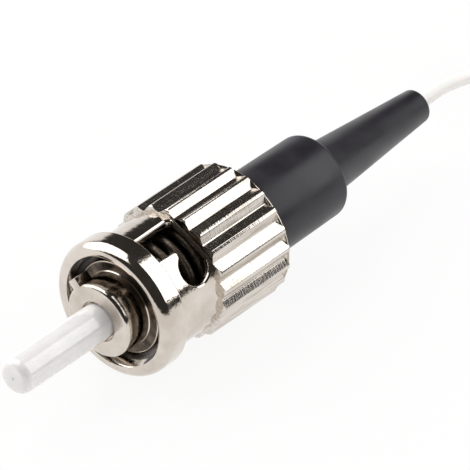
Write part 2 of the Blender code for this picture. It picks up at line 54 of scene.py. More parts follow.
stations = {  # millimetres from the ferrule's tip, as in the frame, but for the boot's end, 0.24 sooner
    "bodyFront": 7.9, "flangeFront": 9.95, "flangeBack": 10.75, "springFront": 10.78,
    "shoulderFront": 19.44, "shoulderBack": 20.34, "clipFront": 20.37, "clipBack": 20.87,
    "rimFront": 9.17, "rimBack": 11.14, "knurlFront": 14.84, "nutBack": 21.19,
    "bootFront": 21.84, "postBack": 27.94, "bootShoulder": 29.14, "bootBack": 39.60,
}
connectorPlaces = {  # each connector is made at the origin, its axis along Y, and moved here
    "": Matrix.Translation((0, -0.01992, 0.0048)),
    "far_": Matrix.Translation((0, 0.1039598, 0.0048)) @ Matrix.Rotation(math.pi, 4, "Z"),
}


# Camera: a long lens from the front right, above the ferrule
cameraView = {
    "azimuth": 40.95, "elevation": 36.1, "distance": 0.400, "lens": 490.0, "sensor": 36.0, "reach": 10.0,
    "lookAt": (6.91 * mm, -6.70 * mm, 11.97 * mm),
}


def makeCamera():
    turn = math.radians(cameraView["azimuth"])
    lift = math.radians(cameraView["elevation"])
    towards = Vector((math.sin(turn) * math.cos(lift), -math.cos(turn) * math.cos(lift), math.sin(lift)))
    lens = bpy.data.cameras.new("productCamera")
    lens.lens = cameraView["lens"]
    lens.sensor_width = cameraView["sensor"]
    lens.clip_end = cameraView["reach"]
    camera = bpy.data.objects.new("productCamera", lens)
    camera.location = Vector(cameraView["lookAt"]) + towards * cameraView["distance"]
    camera.rotation_euler = towards.to_track_quat("Z", "Y").to_euler()
    bpy.context.collection.objects.link(camera)
    bpy.context.scene.camera = camera


makeCamera()
print("camera placed")


# Materials. Sizes in the finishes are millimetres: how wide one patch, speck or mark of a pattern is
def linearColour(code, alpha=1.0):
    values = [int(code[step:step + 2], 16) / 255 for step in (1, 3, 5)]
    return (*[v / 12.92 if v <= 0.04045 else ((v + 0.055) / 1.055) ** 2.4 for v in values], alpha)


def patternScale(size):
    return 1000 / size


def waveScale(period):
    # A wave texture turns 20 radians in one unit
    return 2 * math.pi / 20 * 1000 / period


def linkInputs(tree, node, links):
    for name, source in links.items():
        tree.links.new(source, node.inputs[name])


def setStops(ramp, stops):
    while len(ramp.elements) < len(stops):
        ramp.elements.new(0.5)
    for element, (place, colour) in zip(ramp.elements, stops):
        element.position = place
        element.color = colour


def addNode(tree, kind, settings=None, links=None):
    node = tree.nodes.new(kind)
    for name, value in (settings or {}).items():
        if name == "stops":
            setStops(node.color_ramp, value)
        elif isinstance(name, int) or name in node.inputs:
            node.inputs[name].default_value = value
        else:
            setattr(node, name, value)
    linkInputs(tree, node, links or {})
    return node


def startMaterial(name, surface):
    # What is even all over goes on the shader's own sockets; patterns read Object coordinates
    material = bpy.data.materials.new(name)
    material.use_nodes = True
    tree = material.node_tree
    shader = tree.nodes["Principled BSDF"]
    for key, value in surface.items():
        shader.inputs[key].default_value = value
    return material, tree, shader, addNode(tree, "ShaderNodeTexCoord").outputs["Object"]


nickelFinish = {
    "plate": "#ddd5cc", "shade": "#c9bfb4", "roughness": 0.09, "turningPitch": 0.5655,
    "speckSize": 0.16, "patchSize": 2.4, "relief": 0.02,
}


def brightNickelPlate():
    # Nickel electroplated on turned brass: a warm mirror with a few specks. Its faint turning marks
    # are really finer, and are drawn as coarse as they need to show
    v = nickelFinish
    material, tree, shader, place = startMaterial("brightNickelPlate", {"Metallic": 1.0})
    patches = addNode(
        tree, "ShaderNodeTexNoise", {"Scale": patternScale(v["patchSize"]), "Detail": 3.0}, {"Vector": place},
    )
    specks = addNode(
        tree, "ShaderNodeTexNoise", {"Scale": patternScale(v["speckSize"]), "Detail": 4.0}, {"Vector": place},
    )
    colour = addNode(
        tree, "ShaderNodeValToRGB",
        {"stops": [(0.35, linearColour(v["shade"])), (0.6, linearColour(v["plate"]))]},
        {"Fac": patches.outputs["Fac"]},
    )
    gloss = addNode(
        tree, "ShaderNodeMapRange",
        {"From Min": 0.3, "From Max": 0.75, "To Min": v["roughness"] * 0.7, "To Max": v["roughness"] * 1.9},
        {"Value": specks.outputs["Fac"]},
    )
    marks = addNode(
        tree, "ShaderNodeTexWave",
        {
            "wave_type": "BANDS", "bands_direction": "Y", "Scale": waveScale(v["turningPitch"]),
            "Distortion": 0.6, "Detail": 2.0,
        },
        {"Vector": place},
    )
    height = addNode(
        tree, "ShaderNodeMath", {"operation": "MULTIPLY_ADD", 1: 0.4},
        {0: marks.outputs["Fac"], 2: specks.outputs["Fac"]},
    )
    bump = addNode(
        tree, "ShaderNodeBump", {"Strength": 0.3, "Distance": v["relief"] * mm},
        {"Height": height.outputs["Value"]},
    )
    linkInputs(tree, shader, {
        "Base Color": colour.outputs["Color"], "Roughness": gloss.outputs["Result"],
        "Normal": bump.outputs["Normal"],
    })
    return material


knurlFinish = {
    "plate": "#dcd5cd", "shade": "#b9b0a6", "roughness": 0.15, "grain": 0.09, "groove": 0.13,
    "streak": 0.16, "relief": 0.03,
}


def rolledNickelPlate():
    # The same plate over the rolled teeth of the grip: duller, with streaks along and fine rings round
    v = knurlFinish
    material, tree, shader, place = startMaterial("rolledNickelPlate", {"Metallic": 1.0})
    grain = addNode(
        tree, "ShaderNodeTexNoise",
        {"Scale": patternScale(v["grain"]), "Detail": 5.0, "Roughness": 0.65}, {"Vector": place},
    )
    drawn = addNode(tree, "ShaderNodeMapping", {"Scale": (1.0, 0.06, 1.0)}, {"Vector": place})
    streaks = addNode(
        tree, "ShaderNodeTexNoise", {"Scale": patternScale(v["streak"]), "Detail": 4.0},
        {"Vector": drawn.outputs["Vector"]},
    )
    colour = addNode(
        tree, "ShaderNodeValToRGB",
        {"stops": [(0.32, linearColour(v["shade"])), (0.55, linearColour(v["plate"]))]},
        {"Fac": streaks.outputs["Fac"]},
    )
    gloss = addNode(
        tree, "ShaderNodeMapRange",
        {"From Min": 0.3, "From Max": 0.7, "To Min": v["roughness"] * 0.6, "To Max": v["roughness"] * 1.5},
        {"Value": grain.outputs["Fac"]},
    )
    turned = addNode(tree, "ShaderNodeMapping", {"Scale": (0.12, 1.0, 0.12)}, {"Vector": place})
    grooves = addNode(
        tree, "ShaderNodeTexNoise", {"Scale": patternScale(v["groove"]), "Detail": 3.0},
        {"Vector": turned.outputs["Vector"]},
    )
    height = addNode(
        tree, "ShaderNodeMath", {"operation": "MULTIPLY_ADD", 1: 0.3},
        {0: grain.outputs["Fac"], 2: grooves.outputs["Fac"]},
    )
    bump = addNode(
        tree, "ShaderNodeBump", {"Strength": 0.6, "Distance": v["relief"] * mm},
        {"Height": height.outputs["Value"]},
    )
    linkInputs(tree, shader, {
        "Base Color": colour.outputs["Color"], "Roughness": gloss.outputs["Result"],
        "Normal": bump.outputs["Normal"],
    })
    return material


# The darker colour of the teeth's steep sides is partly polishing residue and partly painted shade for the
# grooves
residueAndShadeFinish = {
    "plate": "#d3cac1", "darkPatch": "#8d8379", "roughness": 0.21, "grain": 0.16, "darkPatchSize": 0.22,
    "relief": 0.30,
}


def residueAndShadeNickelPlate():
    # Plate on the steep side of each tooth: rough and flecked, and darker, partly from polishing residue and
    # partly as painted shade for the grooves between the teeth
    v = residueAndShadeFinish
    material, tree, shader, place = startMaterial(
        "residueAndShadeNickelPlate", {"Metallic": 1.0, "Roughness": v["roughness"]},
    )
    grain = addNode(
        tree, "ShaderNodeTexNoise", {"Scale": patternScale(v["grain"]), "Detail": 4.0}, {"Vector": place},
    )
    darkPatch = addNode(
        tree, "ShaderNodeTexNoise",
        {"Scale": patternScale(v["darkPatchSize"]), "Detail": 5.0, "Roughness": 0.7}, {"Vector": place},
    )
    colour = addNode(
        tree, "ShaderNodeValToRGB",
        {"stops": [(0.45, linearColour(v["darkPatch"])), (0.68, linearColour(v["plate"]))]},
        {"Fac": darkPatch.outputs["Fac"]},
    )
    bump = addNode(
        tree, "ShaderNodeBump", {"Strength": 1.0, "Distance": v["relief"] * mm},
        {"Height": grain.outputs["Fac"]},
    )
    linkInputs(tree, shader, {"Base Color": colour.outputs["Color"], "Normal": bump.outputs["Normal"]})
    return material


# The darker colours here are painted shade for the spring's flange and the nut's inner wall
paintedShadeFinish = {"plate": "#6b6157", "darkPatch": "#3f3730", "roughness": 0.3, "patchSize": 0.6, "relief": 0.02}


def paintedShadePlate():
    # The spring's seat and the nut's inside: a duller plate, whose dark brown colour is painted shade for
    # these shaded places
    v = paintedShadeFinish
    material, tree, shader, place = startMaterial(
        "paintedShadePlate", {"Metallic": 1.0, "Roughness": v["roughness"]},
    )
    patches = addNode(
        tree, "ShaderNodeTexNoise", {"Scale": patternScale(v["patchSize"]), "Detail": 5.0}, {"Vector": place},
    )
    colour = addNode(
        tree, "ShaderNodeValToRGB",
        {"stops": [(0.35, linearColour(v["darkPatch"])), (0.65, linearColour(v["plate"]))]},
        {"Fac": patches.outputs["Fac"]},
    )
    bump = addNode(
        tree, "ShaderNodeBump", {"Strength": 0.3, "Distance": v["relief"] * mm},
        {"Height": patches.outputs["Fac"]},
    )
    linkInputs(tree, shader, {"Base Color": colour.outputs["Color"], "Normal": bump.outputs["Normal"]})
    return material


springFinish = {"steel": "#857a6e", "dark": "#5d5349", "roughness": 0.45, "drawMark": 0.15, "relief": 0.01}


def drawnSpringSteel():
    # Hard drawn spring wire and stamped strip: a darker, slightly brown steel with fine drawing marks
    v = springFinish
    material, tree, shader, place = startMaterial(
        "drawnSpringSteel", {"Metallic": 1.0, "Roughness": v["roughness"]},
    )
    marks = addNode(
        tree, "ShaderNodeTexNoise", {"Scale": patternScale(v["drawMark"]), "Detail": 3.0}, {"Vector": place},
    )
    colour = addNode(
        tree, "ShaderNodeValToRGB",
        {"stops": [(0.35, linearColour(v["dark"])), (0.65, linearColour(v["steel"]))]},
        {"Fac": marks.outputs["Fac"]},
    )
    bump = addNode(
        tree, "ShaderNodeBump", {"Strength": 0.2, "Distance": v["relief"] * mm},
        {"Height": marks.outputs["Fac"]},
    )
    linkInputs(tree, shader, {"Base Color": colour.outputs["Color"], "Normal": bump.outputs["Normal"]})
    return material


zirconiaFinish = {"white": "#f4f2f1", "grey": "#eeebea", "roughness": 0.03, "clouding": 1.2, "depth": 0.6}


def polishedZirconia():
    # Yttria zirconia, ground and diamond polished: dense white, a wet gloss, and a little light gets in
    v = zirconiaFinish
    material, tree, shader, place = startMaterial("polishedZirconia", {
        "Roughness": v["roughness"], "IOR": 1.75, "Subsurface Weight": 0.25,
        "Subsurface Scale": v["depth"] * mm, "Subsurface Radius": (1.0, 0.95, 0.9),
    })
    clouds = addNode(
        tree, "ShaderNodeTexNoise", {"Scale": patternScale(v["clouding"]), "Detail": 3.0}, {"Vector": place},
    )
    colour = addNode(
        tree, "ShaderNodeValToRGB",
        {"stops": [(0.35, linearColour(v["grey"])), (0.65, linearColour(v["white"]))]},
        {"Fac": clouds.outputs["Fac"]},
    )
    linkInputs(tree, shader, {"Base Color": colour.outputs["Color"]})
    return material


bootFinish = {
    "black": "#1a171e", "worn": "#27242c", "roughness": 0.37, "grain": 0.07, "patchSize": 2.0, "relief": 0.02,
}


def mouldedBootRubber():
    # Thermoplastic elastomer from a spark-eroded mould: satin black with a very fine grain
    v = bootFinish
    material, tree, shader, place = startMaterial("mouldedBootRubber", {"IOR": 1.5})
    grain = addNode(
        tree, "ShaderNodeTexNoise", {"Scale": patternScale(v["grain"]), "Detail": 3.0}, {"Vector": place},
    )
    patches = addNode(
        tree, "ShaderNodeTexNoise", {"Scale": patternScale(v["patchSize"]), "Detail": 4.0}, {"Vector": place},
    )
    colour = addNode(
        tree, "ShaderNodeValToRGB",
        {"stops": [(0.35, linearColour(v["black"])), (0.7, linearColour(v["worn"]))]},
        {"Fac": patches.outputs["Fac"]},
    )
    gloss = addNode(
        tree, "ShaderNodeMapRange",
        {"From Min": 0.3, "From Max": 0.7, "To Min": v["roughness"] * 0.85, "To Max": v["roughness"] * 1.2},
        {"Value": patches.outputs["Fac"]},
    )
    bump = addNode(
        tree, "ShaderNodeBump", {"Strength": 0.25, "Distance": v["relief"] * mm},
        {"Height": grain.outputs["Fac"]},
    )
    linkInputs(tree, shader, {
        "Base Color": colour.outputs["Color"], "Roughness": gloss.outputs["Result"],
        "Normal": bump.outputs["Normal"],
    })
    return material


bufferFinish = {
    "white": "#fbfaf8", "cream": "#f6f3ee", "roughness": 0.34, "ripple": 1.5, "relief": 0.02, "depth": 0.3,
}


def extrudedBuffer():
    # Tight buffer extruded over the glass: soft off-white with a faint ripple from the die
    v = bufferFinish
    material, tree, shader, place = startMaterial("extrudedBuffer", {
        "Roughness": v["roughness"], "IOR": 1.5,
        "Subsurface Weight": 0.15, "Subsurface Scale": v["depth"] * mm,
    })
    ripple = addNode(
        tree, "ShaderNodeTexNoise", {"Scale": patternScale(v["ripple"]), "Detail": 2.0}, {"Vector": place},
    )
    colour = addNode(
        tree, "ShaderNodeValToRGB",
        {"stops": [(0.3, linearColour(v["cream"])), (0.7, linearColour(v["white"]))]},
        {"Fac": ripple.outputs["Fac"]},
    )
    bump = addNode(
        tree, "ShaderNodeBump", {"Strength": 0.15, "Distance": v["relief"] * mm},
        {"Height": ripple.outputs["Fac"]},
    )
    linkInputs(tree, shader, {"Base Color": colour.outputs["Color"], "Normal": bump.outputs["Normal"]})
    return material


glassFinish = {"clear": "#f8fbfc", "dull": "#e8eef0", "roughness": 0.02, "cloudSize": 1.11}


def drawnGlassFibre():
    # Fused silica drawn to a fibre: clear, with the slight cloud of its handling
    v = glassFinish
    material, tree, shader, place = startMaterial("drawnGlassFibre", {
        "Transmission Weight": 0.4, "Roughness": v["roughness"], "IOR": 1.46,
    })
    cloud = addNode(tree, "ShaderNodeTexNoise", {"Scale": patternScale(v["cloudSize"])}, {"Vector": place})
    colour = addNode(
        tree, "ShaderNodeValToRGB",
        {"stops": [(0.3, linearColour(v["dull"])), (0.7, linearColour(v["clear"]))]},
        {"Fac": cloud.outputs["Fac"]},
    )
    linkInputs(tree, shader, {"Base Color": colour.outputs["Color"]})
    return material


guideFinish = {"milky": "#e8e8e3", "thin": "#dcdcd6", "roughness": 0.3, "streakSize": 1.43, "depth": 0.5}


def extrudedGuideTube():
    # Natural polypropylene tube: milky, thin and smooth
    v = guideFinish
    material, tree, shader, place = startMaterial("extrudedGuideTube", {
        "Roughness": v["roughness"], "IOR": 1.49,
        "Subsurface Weight": 0.4, "Subsurface Scale": v["depth"] * mm,
    })
    streak = addNode(
        tree, "ShaderNodeTexNoise", {"Scale": patternScale(v["streakSize"]), "Detail": 2.0},
        {"Vector": place},
    )
    colour = addNode(
        tree, "ShaderNodeValToRGB",
        {"stops": [(0.3, linearColour(v["thin"])), (0.7, linearColour(v["milky"]))]},
        {"Fac": streak.outputs["Fac"]},
    )
    linkInputs(tree, shader, {"Base Color": colour.outputs["Color"]})
    return material


strapFinish = {"black": "#161617", "lit": "#2c2c2e", "thread": 1.759, "roughness": 0.85, "relief": 0.06}


def wovenStrap():
    # Woven nylon strap: matt, with a soft sheen on the fuzz. Its crossed threads are really finer, and
    # are drawn as coarse as they need to show
    v = strapFinish
    material, tree, shader, place = startMaterial("wovenStrap", {
        "Roughness": v["roughness"], "Sheen Weight": 0.3, "Sheen Roughness": 0.5,
    })
    across, along = (
        addNode(
            tree, "ShaderNodeTexWave",
            {"bands_direction": direction, "Scale": waveScale(v["thread"]), "Distortion": 0.5},
            {"Vector": place},
        )
        for direction in ("Y", "Z")
    )
    weave = addNode(
        tree, "ShaderNodeMath", {"operation": "MULTIPLY"},
        {0: across.outputs["Fac"], 1: along.outputs["Fac"]},
    )
    colour = addNode(
        tree, "ShaderNodeValToRGB",
        {"stops": [(0.1, linearColour(v["black"])), (0.9, linearColour(v["lit"]))]},
        {"Fac": weave.outputs["Value"]},
    )
    bump = addNode(
        tree, "ShaderNodeBump", {"Strength": 0.6, "Distance": v["relief"] * mm},
        {"Height": weave.outputs["Value"]},
    )
    linkInputs(tree, shader, {"Base Color": colour.outputs["Color"], "Normal": bump.outputs["Normal"]})
    return material


brightNickel = brightNickelPlate()
rolledNickel = rolledNickelPlate()
residueAndShadeNickel = residueAndShadeNickelPlate()
paintedShadeNickel = paintedShadePlate()
springSteel = drawnSpringSteel()
zirconia = polishedZirconia()
bootRubber = mouldedBootRubber()
bufferPlastic = extrudedBuffer()
fibreGlass = drawnGlassFibre()
guidePlastic = extrudedGuideTube()
strapCloth = wovenStrap()
print("materials made")


cordValues = {  # length is the whole fibre in metres, tip to tip; the buffer on it is stripped at each end
    "length": 1.0, "diameter": 0.9 * mm, "pitch": 0.95 * mm, "columns": 3, "rows": 6, "stepsPerSide": 16,
    "spacing": 0.6 * mm,
}
nearRoute = [  # millimetres, from the buffer's cut end in the near connector to the hank
    (0, -3.32, 4.8), (0, 8.68, 4.8), (0, 19.92, 4.8), (0.08, 22.52, 4.86), (0.66, 25.52, 4.40),
    (2.20, 28.32, 2.75), (4.05, 30.82, 1.10), (4.65, 32.82, 0.79), (4.65, 34.42, 0.79),
]
farRoute = [  # millimetres, from the hank's last strand to the buffer's cut end in the far connector
    (2.75, 34.42, 5.54), (2.75, 35.32, 5.66), (2.75, 37.02, 6.29), (2.75, 39.42, 6.80), (2.75, 44.32, 6.80),
    (2.50, 48.32, 6.70), (1.85, 51.72, 6.55), (0.95, 55.52, 6.05), (0.25, 59.82, 5.25), (0, 64.12, 4.8),
    (0, 75.36, 4.8), (0, 87.36, 4.8),
]
placeChanges = {  # (column, what changes): where it starts and ends in a turn, in sides of the hank
    (2, "row"): (0.02, 0.38), (1, "column"): (0.40, 1.00), (1, "row"): (1.05, 1.95),
    (0, "column"): (2.05, 2.95), (0, "row"): (3.00, 3.60),
}


def smoothRoute(route, spacing):
    # A smooth curve through the route's points, which follows their distances
    padded = [2 * route[0] - route[1]] + route + [2 * route[-1] - route[-2]]
    points = [route[0]]
    for before, start, end, after in zip(padded, padded[1:], padded[2:], padded[3:]):
        stretch = (end - start).length
        leave = (end - before) * stretch / ((start - before).length + stretch)
        arrive = (after - start) * stretch / (stretch + (after - end).length)
        steps = max(1, round(stretch / spacing))
        for step in range(1, steps + 1):
            t = step / steps
            points.append(
                (2 * t**3 - 3 * t**2 + 1) * start + (t**3 - 2 * t**2 + t) * leave
                + (3 * t**2 - 2 * t**3) * end + (t**3 - t**2) * arrive
            )
    return points


def routeLength(points):
    return sum((b - a).length for a, b in zip(points, points[1:]))


def hankPoints():
    # The columns are wound up, down and up again; each strand moves to its next place in its own stretch
    low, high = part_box("cord_hank")
    wire, pitch, steps = cordValues["diameter"] / 2, cordValues["pitch"], cordValues["stepsPerSide"]
    outer = (high.x - low.x) / 2 - wire
    front, back = low.y + wire + outer, high.y - wire - outer
    order = []
    for column in range(cordValues["columns"]):
        rows = list(range(cordValues["rows"]))
        order += [(column, row) for row in (rows if column % 2 == 0 else reversed(rows))]
    points = []
    for (column, row), (nextColumn, nextRow) in zip(order, order[1:]):
        begin, end = placeChanges[(column, "row" if column == nextColumn else "column")]
        for step in range(4 * steps):
            side = step / steps
            share = min(max((side - begin) / (end - begin), 0), 1)
            share = share * share * (3 - 2 * share)
            radius = outer - pitch * (column + (nextColumn - column) * share)
            height = low.z + wire + pitch * (row + (nextRow - row) * share)
            if side < 1:
                place = (radius, front + (back - front) * side)
            elif side < 2:
                turned = math.pi * (side - 1)
                place = (radius * math.cos(turned), back + radius * math.sin(turned))
            elif side < 3:
                place = (-radius, back - (back - front) * (side - 2))
            else:
                turned = math.pi * (side - 2)
                place = (radius * math.cos(turned), front + radius * math.sin(turned))
            points.append(Vector((*place, height)))
    return points


def wireCurve(name, points, diameter, resolution):
    # A round wire along a line of points, with closed ends
    curve = bpy.data.curves.new(name, "CURVE")
    curve.dimensions = "3D"
    curve.bevel_depth = diameter / 2
    curve.bevel_resolution = resolution
    curve.use_fill_caps = True
    spline = curve.splines.new("POLY")
    spline.points.add(len(points) - 1)
    for target, point in zip(spline.points, points):
        target.co = (*point, 1)
    return curve


def makeCord():
    near = smoothRoute([Vector(point) * mm for point in nearRoute], cordValues["spacing"])
    far = smoothRoute([Vector(point) * mm for point in farRoute], cordValues["spacing"])
    points = near[:-1] + hankPoints() + far
    print("cord path in metres:", round(routeLength(points), 4))
    curve = wireCurve("bufferedFibre", points, cordValues["diameter"], 4)
    curve.splines[0].use_smooth = True
    curve.materials.append(bufferPlastic)
    piece = bpy.data.objects.new("buffered_fibre", curve)
    bpy.context.collection.objects.link(piece)
    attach(piece, "cord")
    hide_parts("cord_near", "cord_hank", "cord_far")
    return piece


bufferedFibre = makeCord()
print("cord wound")


# Modelling helpers. Profiles are (along, radius) in millimetres from the ferrule's tip
def linkPiece(name, shape, materials):
    bmesh.ops.recalc_face_normals(shape, faces=shape.faces)
    mesh = bpy.data.meshes.new(name)
    shape.to_mesh(mesh)
    shape.free()
    for material in materials:
        mesh.materials.append(material)
    piece = bpy.data.objects.new(name, mesh)
    bpy.context.collection.objects.link(piece)
    return piece


def finishPiece(piece, body, replaced, smoothAngle=35):
    piece.data.shade_smooth()
    piece.data.set_sharp_from_angle(angle=math.radians(smoothAngle))
    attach(piece, body)
    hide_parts(replaced)
    return piece


def spunShape(profile, steps):
    shape = bmesh.new()
    points = [shape.verts.new((radius * mm, along * mm, 0)) for along, radius in profile]
    for first, second in zip(points, points[1:] + points[:1]):
        shape.edges.new((first, second))
    bmesh.ops.spin(
        shape, geom=shape.verts[:] + shape.edges[:], cent=(0, 0, 0), axis=(0, -1, 0),
        angle=2 * math.pi, steps=steps, use_merge=True,
    )
    bmesh.ops.remove_doubles(shape, verts=shape.verts, dist=1e-8)
    bmesh.ops.recalc_face_normals(shape, faces=shape.faces)
    return shape


def arcPoints(centre, radii, start, end, steps):
    turns = [math.radians(start + (end - start) * step / steps) for step in range(steps + 1)]
    return [(centre[0] + radii[0] * math.cos(turn), centre[1] + radii[1] * math.sin(turn)) for turn in turns]


def cutWith(piece, cutterShape, operation="DIFFERENCE"):
    cutter = linkPiece("cutter", cutterShape, piece.data.materials)
    modifier = piece.modifiers.new("cut", "BOOLEAN")
    modifier.operation = operation
    modifier.object = cutter
    modifier.solver = "EXACT"
    bpy.context.view_layer.update()
    result = bpy.data.meshes.new_from_object(piece.evaluated_get(bpy.context.evaluated_depsgraph_get()))
    piece.modifiers.clear()
    piece.data = result
    bpy.data.objects.remove(cutter, do_unlink=True)


def placePiece(piece, prefix):
    piece.data.transform(connectorPlaces[prefix])
    piece.data.update()


ferruleValues = {
    "diameter": 2.5, "tip": 1.5, "tipFlat": 0.9, "tipLength": 0.58, "length": 10.9, "bore": 0.141,
    "funnel": 1.1, "funnelLength": 1.3, "steps": 96,
}


def makeFerrule(prefix):
    # A ground pin with a domed tip, a fine bore and a funnel at the back that guides the fibre in
    v = ferruleValues
    outer, tip = v["diameter"] / 2, v["tip"] / 2
    profile = [(0, v["bore"] / 2), (0, v["tipFlat"] / 2)]
    profile += arcPoints((v["tipLength"], tip), (v["tipLength"], outer - tip), 180, 90, 14)
    profile += [
        (v["length"], outer), (v["length"], v["funnel"] / 2),
        (v["length"] - v["funnelLength"], v["bore"] / 2),
    ]
    piece = linkPiece(prefix + "polished_ferrule", spunShape(profile, v["steps"]), [zirconia])
    placePiece(piece, prefix)
    return finishPiece(piece, "cord", prefix + "ferrule")


bodyValues = {
    "barrel": 5.14, "edge": 0.24, "faceHole": 2.76, "faceHoleDepth": 0.5, "faceHoleTaper": 0.02,
    "chamfer": 0.06, "flange": 6.6, "flangeFrontEdge": 0.14, "flangeBackEdge": 0.08, "shaft": 4.6,
    "groove": 3.8, "grooveGap": 0.03, "bore": 1.7, "ferruleSeat": 2.54, "ferruleSeatEnd": 10.93,
    "seatMargin": 0.1,
    "ribs": 3, "ribDepth": 0.16, "ribFoot": 0.3, "ribTop": 0.02,
    "keyWidth": 0.75, "keyHeight": 0.55, "keyLength": 1.2, "keyAngle": 135.0, "keyEdge": 0.05, "keySet": 0.03,
    "steps": 128,
}


def bodyProfile():
    # Barrel, spring flange, shaft with its clip groove, ribbed post, and back through the bore
    v, s = bodyValues, stations
    barrel, edge, shaft, flange = v["barrel"] / 2, v["edge"], v["shaft"] / 2, v["flange"] / 2
    front, chamfer = s["bodyFront"], v["chamfer"]
    lead, trail = v["flangeFrontEdge"], v["flangeBackEdge"]
    profile = [(front + chamfer, v["faceHole"] / 2), (front, v["faceHole"] / 2 + chamfer)]
    profile += arcPoints((front + edge, barrel - edge), (edge, edge), 180, 90, 6)
    profile += [(s["flangeFront"] - chamfer, barrel), (s["flangeFront"], barrel + chamfer)]
    profile += arcPoints((s["flangeFront"] + lead, flange - lead), (lead, lead), 180, 90, 4)
    profile += arcPoints((s["flangeBack"] - trail, flange - trail), (trail, trail), 90, 0, 3)
    grooveFront, grooveBack = s["clipFront"] - v["grooveGap"], s["clipBack"] + v["grooveGap"]
    profile += [
        (s["flangeBack"], shaft), (grooveFront, shaft), (grooveFront, v["groove"] / 2),
        (grooveBack, v["groove"] / 2), (grooveBack, shaft),
    ]
    pitch = (s["postBack"] - s["bootFront"]) / v["ribs"]
    for rib in range(v["ribs"]):
        start = s["bootFront"] + rib * pitch
        end = start + pitch
        profile += [(start + v["ribFoot"] * pitch, shaft - v["ribDepth"]), (end - v["ribTop"], shaft)]
        if rib < v["ribs"] - 1:
            profile.append((end, shaft - v["ribDepth"] / 2))
    seat, faceHoleEnd = v["ferruleSeat"] / 2, front + v["faceHoleDepth"]
    profile += [
        (s["postBack"], v["bore"] / 2), (v["ferruleSeatEnd"], v["bore"] / 2), (v["ferruleSeatEnd"], seat),
        (faceHoleEnd, seat), (faceHoleEnd, v["faceHole"] / 2 - v["faceHoleTaper"]),
    ]
    return profile


def alignmentKey():
    # The small key on the barrel that finds the adapter's notch
    v = bodyValues
    low, high = v["barrel"] / 2 - v["keyHeight"], v["barrel"] / 2 + v["keyHeight"]
    middle = stations["bodyFront"] + v["keySet"] + v["keyLength"] / 2
    key = bmesh.new()
    bmesh.ops.create_cube(key, size=1)
    bmesh.ops.scale(key, vec=((high - low) * mm, v["keyLength"] * mm, v["keyWidth"] * mm), verts=key.verts)
    bmesh.ops.bevel(
        key, geom=key.edges[:], offset=v["keyEdge"] * mm, offset_type="OFFSET", segments=2, profile=0.5,
        affect="EDGES", material=-1,
    )
    bmesh.ops.translate(key, vec=((low + high) / 2 * mm, middle * mm, 0), verts=key.verts)
    turn = Matrix.Rotation(-math.radians(v["keyAngle"]), 3, "Y")
    bmesh.ops.rotate(key, cent=(0, 0, 0), matrix=turn, verts=key.verts)
    return key


def makeBody(prefix):
    s = stations
    shape = spunShape(bodyProfile(), bodyValues["steps"])
    piece = linkPiece(prefix + "turned_body", shape, [brightNickel, paintedShadeNickel])
    for face in piece.data.polygons:  # both faces of the flange get the darker plate, painted shade for the shaded flange
        onFlange = s["flangeFront"] - bodyValues["seatMargin"] < face.center.y / mm < s["flangeBack"]
        face.material_index = int(onFlange and abs(face.normal.y) > 0.9)
    cutWith(piece, alignmentKey(), "UNION")
    placePiece(piece, prefix)
    return finishPiece(piece, "cord", prefix + "connector_body")


nutValues = {  # millimetres and degrees
    "rim": 9.6, "lip": 8.52, "lipDepth": 0.8, "lipRound": 0.5, "noseLength": 0.62, "noseEnd": 110.0,
    "rimEdge": 0.14, "crownGap": 0.03, "sleeve": 8.5, "bore": 7.52, "keyway": 8.1, "keywayInset": 1.5,
    "pocket": 6.84, "pocketFront": 0.35, "shoulderBore": 4.84, "recess": 6.44, "recessWall": 0.2,
    "recessEdge": 0.06, "overlap": 0.1, "coreSink": 0.04,
    "knurl": 9.54, "toothCount": 21, "toothDepth": 0.36, "crestTurn": 8.0, "knurlEdge": 0.28,
    "blankProud": 0.03, "blankRoot": 0.2, "blankGap": 0.04, "residueAndShadeLean": 0.45,
    "ringLength": 0.10, "ringDepth": 0.11, "ringEdge": 0.07, "ringRoot": 0.15, "ringSink": 0.01,
    "runOut": 0.22, "slopeEnd": 0.6, "slopeDepth": 0.72,
    "slotFrom": 61.6, "slotTo": 90.6, "slotEnd": 39.4, "slotEndRadius": 1.15, "slotWeb": 0.14,
    "slotThroat": 1.6, "slotCorner": 0.3, "slotEdge": 0.20, "slotEdgeShare": 0.86, "slotGap": 0.03,
    "cutterPast": 0.4, "cutterLift": 0.02, "cutterRise": 2.0, "insideSkin": 0.06, "insideStop": 0.2,
    "steps": 192,
}
toothSection = [  # degrees from the tooth's crest, millimetres below the grip's surface
    (-8.571, 0.36), (-7.9, 0.35), (-7.2, 0.322), (-1.8, 0.0345), (-1.1, 0.010), (0, 0),
    (1.1, 0.010), (1.7, 0.033), (7.2, 0.304), (7.9, 0.342),
]
nutMaterials = [brightNickel, rolledNickel, residueAndShadeNickel, paintedShadeNickel]
toothFace, residueAndShadeFace, paintedShadeFace = 1, 2, 3  # places in that list; every other face stays bright


def slotOutline():
    # (distance round the sleeve, place along) in millimetres: entry, ramp past the hump, round detent
    v, s = nutValues, stations
    sleeve = v["sleeve"] / 2
    rear = s["knurlFront"] - v["slotWeb"]
    entryFrom, entryTo, end = (math.radians(v[key]) * sleeve for key in ("slotFrom", "slotTo", "slotEnd"))
    corner, radius = v["slotCorner"], v["slotEndRadius"]
    outline = [(entryFrom, s["rimBack"] + v["slotGap"]), (entryTo, s["rimBack"] + v["slotGap"])]
    outline += arcPoints((entryTo - corner, rear - corner), (corner, corner), 0, 90, 6)
    outline += arcPoints((end, rear - radius), (radius, radius), 90, 330, 24)
    outline += arcPoints((entryFrom - corner, rear - v["slotThroat"] - corner), (corner, corner), 90, 0, 5)
    return outline


